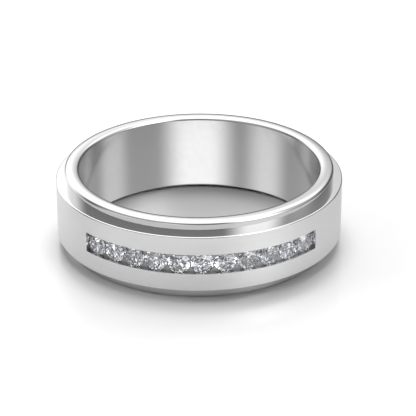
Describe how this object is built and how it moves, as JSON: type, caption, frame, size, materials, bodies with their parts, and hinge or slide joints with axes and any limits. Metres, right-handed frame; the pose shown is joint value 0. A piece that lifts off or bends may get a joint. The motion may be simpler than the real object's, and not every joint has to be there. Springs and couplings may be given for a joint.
{
  "type": "channel set band ring",
  "caption": "Finger ring with a raised satin centre between two polished steps and a row of round brilliant stones held in a channel.",
  "frame": {"origin": "on the ring's axis, in the plane that its lower rim rests on", "axes": "+Z along the ring's axis, upwards as it lies; -Y towards the middle of the row of stones; +X to the right of someone who looks at the stones"},
  "size_m": [0.0236, 0.0236, 0.0066],
  "materials": {
    "white_gold": "satin raised centre, mirror polished steps and bore",
    "diamond": "polished facets"
  },
  "bodies": {
    "root": {"band": "white_gold", "stone_01": "diamond", "stone_02": "diamond", "stone_03": "diamond", "stone_04": "diamond", "stone_05": "diamond", "stone_06": "diamond", "stone_07": "diamond", "stone_08": "diamond", "stone_09": "diamond", "stone_10": "diamond", "stone_11": "diamond"}
  },
  "joints": []
}
